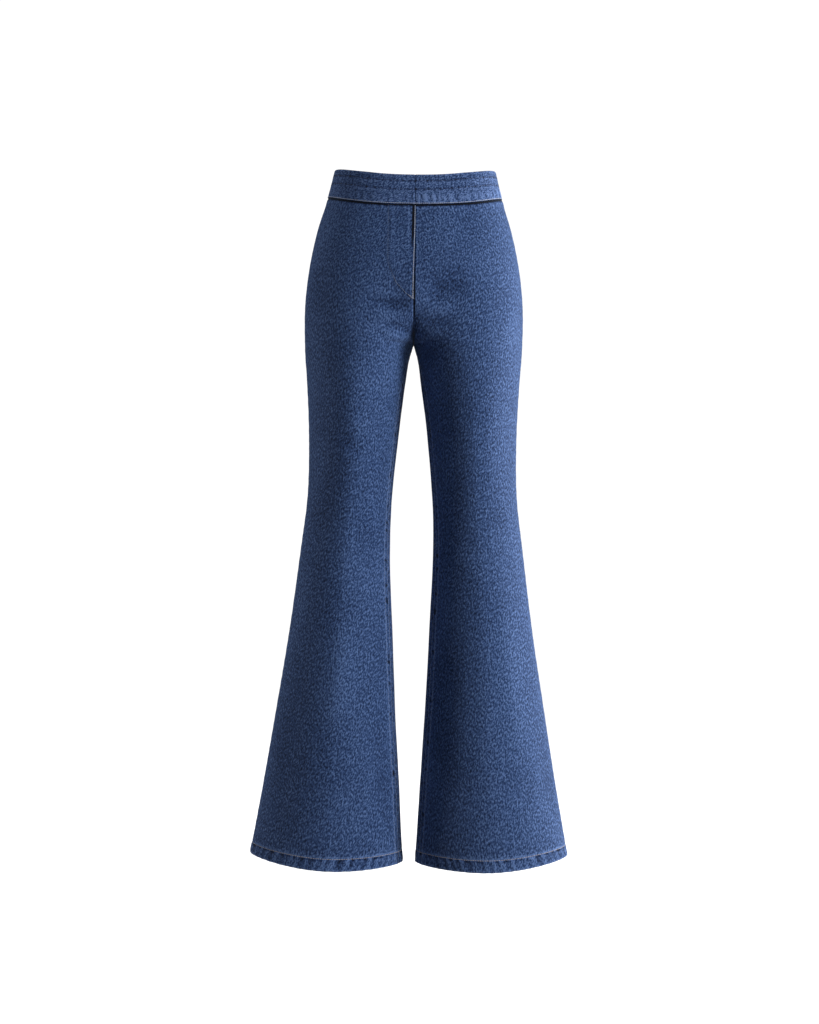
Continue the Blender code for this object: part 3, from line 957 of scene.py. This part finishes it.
for leg, mirror in LEGS.items():
    rows, out, cuts = [], [], []
    for lift in np.linspace(HEM_DEPTH, FOLD_RADIUS, HEM_ROWS):
        row, facing, cut = [], [], []
        for end, seam in (("front", "inner"), ("back", "side")):
            panel = panels[f"{end}_{leg}"]
            number = row_at(panel, HEM_LEVEL + lift)
            distance = np.sort(panel[seam][-1][::2])[:-1]
            points, normals = face_at(panel, number, distance, seam)
            row.append(points)
            facing.append(normals)
            cut.append(at_distance(panel, number, distance, "cut", seam) + [0, 2 * lift])
        rows.append(np.concatenate(row))
        out.append(np.concatenate(facing))
        cuts.append(np.concatenate(cut))
    rows, out, cuts = map(np.array, (rows, out, cuts))
    near, far = rows - (HEM_INSET - HEM_WALL) * out, rows - HEM_INSET * out
    if mirror[0] < 0:
        near, far, cuts = near[:, ::-1] * MIRROR, far[:, ::-1] * MIRROR, cuts[:, ::-1]
    wear_and_light = np.full(near.shape[:2], -0.1)
    piece = cloth_wall(f"hem_{leg}_turn", near, far, cuts, wear_and_light, panel_denim, ring=True)
    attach(piece, "root")
    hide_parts(f"hem_{leg}")


# --- Stitching ----------------------------------------------------------------------------
# Lockstitch in thick polyester thread, laid on by machine along each seam: pale at the waist
# seam and the fly, grey down the inseams and the upper J, tan round the hems and down the
# seat seam, and blue through the band.

THREAD = 0.00062
SUNK = 0.00012


def stitch_tree():
    """Geometry Nodes: a row of stitches along each chain of edges."""
    tree = bpy.data.node_groups.new("Row of stitches", "GeometryNodeTree")
    sockets = {}
    for name, kind in (
        ("Seam", "Geometry"), ("Pitch", "Float"), ("Stitch length", "Float"),
        ("Thread", "Float"), ("Sway", "Float"), ("Seed", "Int"), ("Dye", "Material"),
    ):
        sockets[name] = tree.interface.new_socket(
            name, in_out="INPUT", socket_type=f"NodeSocket{kind}").identifier
    tree.interface.new_socket("Stitches", in_out="OUTPUT", socket_type="NodeSocketGeometry")
    given = tree.nodes.new("NodeGroupInput").outputs
    line = wired(tree, "GeometryNodeMeshToCurve", {0: given["Seam"]})
    points = wired(tree, "GeometryNodeCurveToPoints", {
        "Curve": line.outputs[0], "Length": given["Pitch"],
    }, mode="LENGTH")
    grain = wired(tree, "GeometryNodeMeshUVSphere", {"Segments": 6, "Rings": 4, "Radius": 0.5})
    shape = wired(tree, "ShaderNodeCombineXYZ", {
        0: given["Thread"], 1: given["Thread"], 2: given["Stitch length"],
    })
    stitch = wired(tree, "GeometryNodeTransform", {
        "Geometry": grain.outputs[0], "Scale": shape.outputs[0],
    })
    laid = wired(tree, "GeometryNodeInstanceOnPoints", {
        "Points": points.outputs[0], "Instance": stitch.outputs[0],
        "Rotation": points.outputs["Rotation"],
    })
    least = wired(tree, "ShaderNodeMath", {0: given["Sway"], 1: -1.0}, operation="MULTIPLY")
    sway = wired(tree, "FunctionNodeRandomValue", {
        "Min": least.outputs[0], "Max": given["Sway"], "Seed": given["Seed"],
    }, data_type="FLOAT_VECTOR")
    turned = wired(tree, "GeometryNodeRotateInstances", {
        "Instances": laid.outputs[0], "Rotation": sway.outputs[0],
    })
    real = wired(tree, "GeometryNodeRealizeInstances", {0: turned.outputs[0]})
    rounded = wired(tree, "GeometryNodeSetShadeSmooth", {0: real.outputs[0]})
    dyed = wired(tree, "GeometryNodeSetMaterial", {
        "Geometry": rounded.outputs[0], "Material": given["Dye"],
    })
    wired(tree, "NodeGroupOutput", {0: dyed.outputs[0]})
    return tree, sockets


def thread(name, colour, shadow):
    """Twisted thread: its plies show as fine slanting shadow lines."""
    material, tree, shader = new_material(name, {"Roughness": 0.55, "Sheen Weight": 0.2})
    place = wired(tree, "ShaderNodeTexCoord").outputs["Object"]
    plies = wired(tree, "ShaderNodeTexNoise", {"Vector": place, "Scale": 900, "Detail": 2})
    dyed = two_colours(tree, plies.outputs[0], (*shadow, 1), (*colour, 1))
    tree.links.new(dyed, shader.inputs["Base Color"])
    bump = wired(tree, "ShaderNodeBump", {
        "Height": plies.outputs[0], "Strength": 0.5, "Distance": 0.0002,
    })
    tree.links.new(bump.outputs[0], shader.inputs["Normal"])
    return material


pale_thread = thread("pale_thread", (0.70, 0.76, 0.92), (0.36, 0.40, 0.52))
grey_thread = thread("grey_thread", (0.27, 0.31, 0.43), (0.12, 0.14, 0.20))
tan_thread = thread("tan_thread", (0.60, 0.56, 0.57), (0.22, 0.16, 0.13))
blue_thread = thread("blue_thread", (0.030, 0.052, 0.130), (0.008, 0.014, 0.040))
stitches_in_a_row, stitch_sockets = stitch_tree()


def sewn(name, seams, dye, pitch, length, thickness=THREAD, sway=0.06, seed=1):
    """A piece that holds the stitches along these seams, each a list of points."""
    points, edges = [], []
    for seam in seams:
        first = len(points)
        points += [tuple(point) for point in np.asarray(seam) * grown]
        edges += [(i, i + 1) for i in range(first, len(points) - 1)]
    guide = bpy.data.meshes.new(f"{name}_guide")
    guide.from_pydata(points, edges, [])
    helper = placed(f"{name}_guide", guide)
    modifier = helper.modifiers.new("Stitches", "NODES")
    modifier.node_group = stitches_in_a_row
    for key, value in (
        ("Pitch", pitch), ("Stitch length", length), ("Thread", thickness),
        ("Sway", sway), ("Seed", seed), ("Dye", dye),
    ):
        modifier[stitch_sockets[key]] = value
    bpy.context.view_layer.update()
    graph = bpy.context.evaluated_depsgraph_get()
    mesh = bpy.data.meshes.new_from_object(helper.evaluated_get(graph))
    mesh.name = name
    piece = placed(name, mesh)
    bpy.data.objects.remove(helper)
    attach(piece, "root")
    return piece


def on_top(points, out):
    """Thread lies on the cloth, a little sunk."""
    return points + (THREAD / 2 - SUNK) * unit(out)


def down_the_panel(panel, distance, top, bottom):
    """A line at a distance from the panel's inner seam, between two heights."""
    panel = panels[panel]
    rows = [i for i, height in enumerate(panel["heights"]) if bottom <= height <= top]
    laid = [on_top(*face_at(panel, i, distance)) for i in rows]
    return np.array(laid) * panel["mirror"]


def across_the_panel(panel, height):
    panel = panels[panel]
    distance = np.sort(panel["inner"][-1])
    return on_top(*face_at(panel, row_at(panel, height), distance)) * panel["mirror"]


def along_the_band(name, key, distance):
    """A line at a distance from the band's top (depth) or from its seam (height)."""
    band = bands[name]
    points, out = [], []
    for column in range(band["face"].shape[1]):
        have = band[key][:, column]
        order = np.argsort(have)
        for values, into in ((band["face"], points), (band["out"], out)):
            line = values[order, column]
            into.append([np.interp(distance, have[order], line[:, k]) for k in range(3)])
    return on_top(np.array(points), np.array(out))


sewn("waist_seam_stitches",
     [along_the_band(name, "height", BAND_STITCH) for name in bands],
     pale_thread, pitch=0.0032, length=0.0030, thickness=0.00105, seed=2)
sewn("waistband_tape_stitches",
     [along_the_band(name, "depth", row) for name in bands for row in TAPE_ROWS],
     blue_thread, pitch=0.0036, length=0.0029, seed=3)
for leg in ("left", "right"):
    sewn(f"inseam_{leg}_stitches",
         [down_the_panel(f"front_{leg}", row, FORK - 0.004, HEM_LEVEL + 0.003)
          for row in INSEAM_ROWS],
         grey_thread, pitch=0.0034, length=0.0029, seed=4)
    sewn(f"hem_{leg}_stitches",
         [across_the_panel(f"{end}_{leg}", HEM_LEVEL + HEM_STITCH) for end in ("front", "back")],
         tan_thread, pitch=0.0036, length=0.0031, thickness=0.00105, seed=5)
sewn("seat_seam_stitches",
     [down_the_panel("back_left", row, SEAM_LEVEL - 0.002, FORK) for row in INSEAM_ROWS],
     tan_thread, pitch=0.0034, length=0.0029, seed=6)

# The fly's own stitching: down its fold, and the J from the waist to the foot of the fold
FOLD_TOP = -0.0185
J_TOP = -0.0180
J_STRAIGHT_ENDS = -0.121
J_TURNS = -0.155
J_FOOT = -0.1768
J_POINTS = 90
J_SLANTS = 46
BAR_SLANT = 0.7


def on_the_fly(distance, height):
    """A point on the fly's face at a distance from the centre front."""
    i = float(np.interp(-height, -fly_heights, np.arange(len(fly_heights))))
    low = int(min(i, len(fly_heights) - 2))
    share = i - low
    found = []
    for values in (fly_face, fly_out):
        upper, lower = [
            np.array([np.interp(distance, fly_face[row][:, 0], line) for line in values[row].T])
            for row in (low, low + 1)
        ]
        found.append(upper * (1 - share) + lower * share)
    return on_top(found[0], found[1]) * MIRROR


fold_heights = np.linspace(FOLD_TOP, J_FOOT, 80)
fold_line = [on_the_fly(fold_stitch(height) - FLY_LAP, height) for height in fold_heights]
# Corners of the J: distance from the centre front, and height
j_corners = np.array((
    (0.0400, J_TOP), (0.0402, J_STRAIGHT_ENDS), (0.0375, -0.130), (0.0265, J_TURNS),
    (0.0130, -0.1690), (0.0040, J_FOOT),
))
j_steps = np.linspace(0, len(j_corners) - 1, J_POINTS)
j_across, j_heights = [np.interp(j_steps, range(len(j_corners)), column) for column in j_corners.T]
j_line = [on_the_fly(across, height) for across, height in zip(j_across, j_heights)]
sewn("fly_fold_stitches", [fold_line], pale_thread, pitch=0.0029, length=0.0031,
     thickness=0.00120, sway=0.04, seed=7)
sewn("fly_j_stitches", [j_line[:J_SLANTS]], grey_thread, pitch=0.0033, length=0.0026,
     thickness=0.00034, seed=8)
sewn("fly_j_foot_stitches", [j_line[J_SLANTS:]], pale_thread, pitch=0.0033, length=0.0029,
     thickness=0.00050, seed=10)
bar_across = np.linspace(0.0008, 0.008, 8)
bar = [on_the_fly(across, J_FOOT - 0.0014 + BAR_SLANT * across) for across in bar_across]
sewn("fly_bar_tack", [bar], pale_thread, pitch=0.0011, length=0.0022, thickness=0.0006,
     sway=0.4, seed=9)


# --- Studio -------------------------------------------------------------------------------
# A pale floor below the hems and five soft lamps: the strong ones from the wearer's left and
# behind, weak ones from the front and from the wearer's right.  The camera is level with the
# middle of the jeans.

FLOOR_DROP = 0.045
FLOOR_SIZE = 3.2
FLOOR_FADES = (1.25, 3.0)
AMBIENT = (0.058, 0.064, 0.078, 1)
BACKDROP = (1.05, 1.05, 1.05, 1)
CAMERA_DISTANCE = 3.4
CAMERA_HEIGHT = -0.499
CAMERA_SIDE = -0.0039
CAMERA_ROLL = math.radians(0.54)
VIEW_HEIGHT = 1.5872
SENSOR = 36.0

middle = (cad_low + cad_high) / 2
floor_mesh = bpy.data.meshes.new("floor")
rim = [
    (FLOOR_SIZE * math.cos(turn), FLOOR_SIZE * math.sin(turn), cad_low.z - FLOOR_DROP)
    for turn in np.linspace(0, 2 * math.pi, 96, endpoint=False)
]
floor_mesh.from_pydata(rim, [], [tuple(range(len(rim)))])
floor = placed("floor", floor_mesh)
floor_paint, paint, shader = new_material("floor_paint", {
    "Base Color": (0.42, 0.42, 0.43, 1), "Roughness": 0.9,
    "Emission Color": (1, 1, 1, 1), "Emission Strength": 0.95,
})
place = wired(paint, "ShaderNodeTexCoord").outputs["Object"]
reach = wired(paint, "ShaderNodeVectorMath", {0: place}, operation="LENGTH").outputs["Value"]
gone = ranged(paint, reach, *FLOOR_FADES)
clear = wired(paint, "ShaderNodeBsdfTransparent")
faded = wired(paint, "ShaderNodeMixShader", {
    0: gone, 1: shader.outputs[0], 2: clear.outputs[0],
})
paint.links.new(faded.outputs[0], paint.nodes["Material Output"].inputs[0])
floor_mesh.materials.append(floor_paint)
floor.visible_diffuse = False

world = bpy.data.worlds.new("studio")
bpy.context.scene.world = world
world.use_nodes = True
sky = world.node_tree
seen = wired(sky, "ShaderNodeLightPath").outputs["Is Camera Ray"]
glow = two_colours(sky, seen, AMBIENT, BACKDROP)
sky.links.new(glow, sky.nodes["Background"].inputs["Color"])

# Lamps: degrees round from the front towards the wearer's left, height above the middle of
# the jeans, distance, width and height of the lamp, and power
LAMPS = {
    "key": (58, 0.45, 2.6, 0.8, 2.0, 62.0),
    "front": (10, 0.9, 3.2, 1.4, 1.6, 12.0),
    "edge": (112, 0.3, 2.4, 0.7, 1.8, 66.0),
    "rim": (-104, 0.2, 2.4, 0.7, 1.8, 19.0),
    "back": (180, 0.9, 3.4, 1.2, 1.6, 42.0),
}
for name, (azimuth, above, distance, width, height, power) in LAMPS.items():
    data = bpy.data.lights.new(name, "AREA")
    data.shape = "RECTANGLE"
    data.size, data.size_y = width, height
    data.energy = power
    lamp = placed(name, data)
    turn = math.radians(azimuth)
    lamp.location = (
        distance * math.sin(turn), -distance * math.cos(turn), middle.z + above)
    aim = middle - lamp.location
    lamp.rotation_euler = aim.to_track_quat("-Z", "Y").to_euler()

camera_data = bpy.data.cameras.new("camera")
camera_data.sensor_width = SENSOR
camera_data.lens = SENSOR * CAMERA_DISTANCE / VIEW_HEIGHT
camera = placed("camera", camera_data)
camera.location = (CAMERA_SIDE, -CAMERA_DISTANCE, CAMERA_HEIGHT)
camera.rotation_euler = (math.pi / 2, -CAMERA_ROLL, 0)
bpy.context.scene.camera = camera
bpy.context.scene.view_settings.view_transform = "Standard"
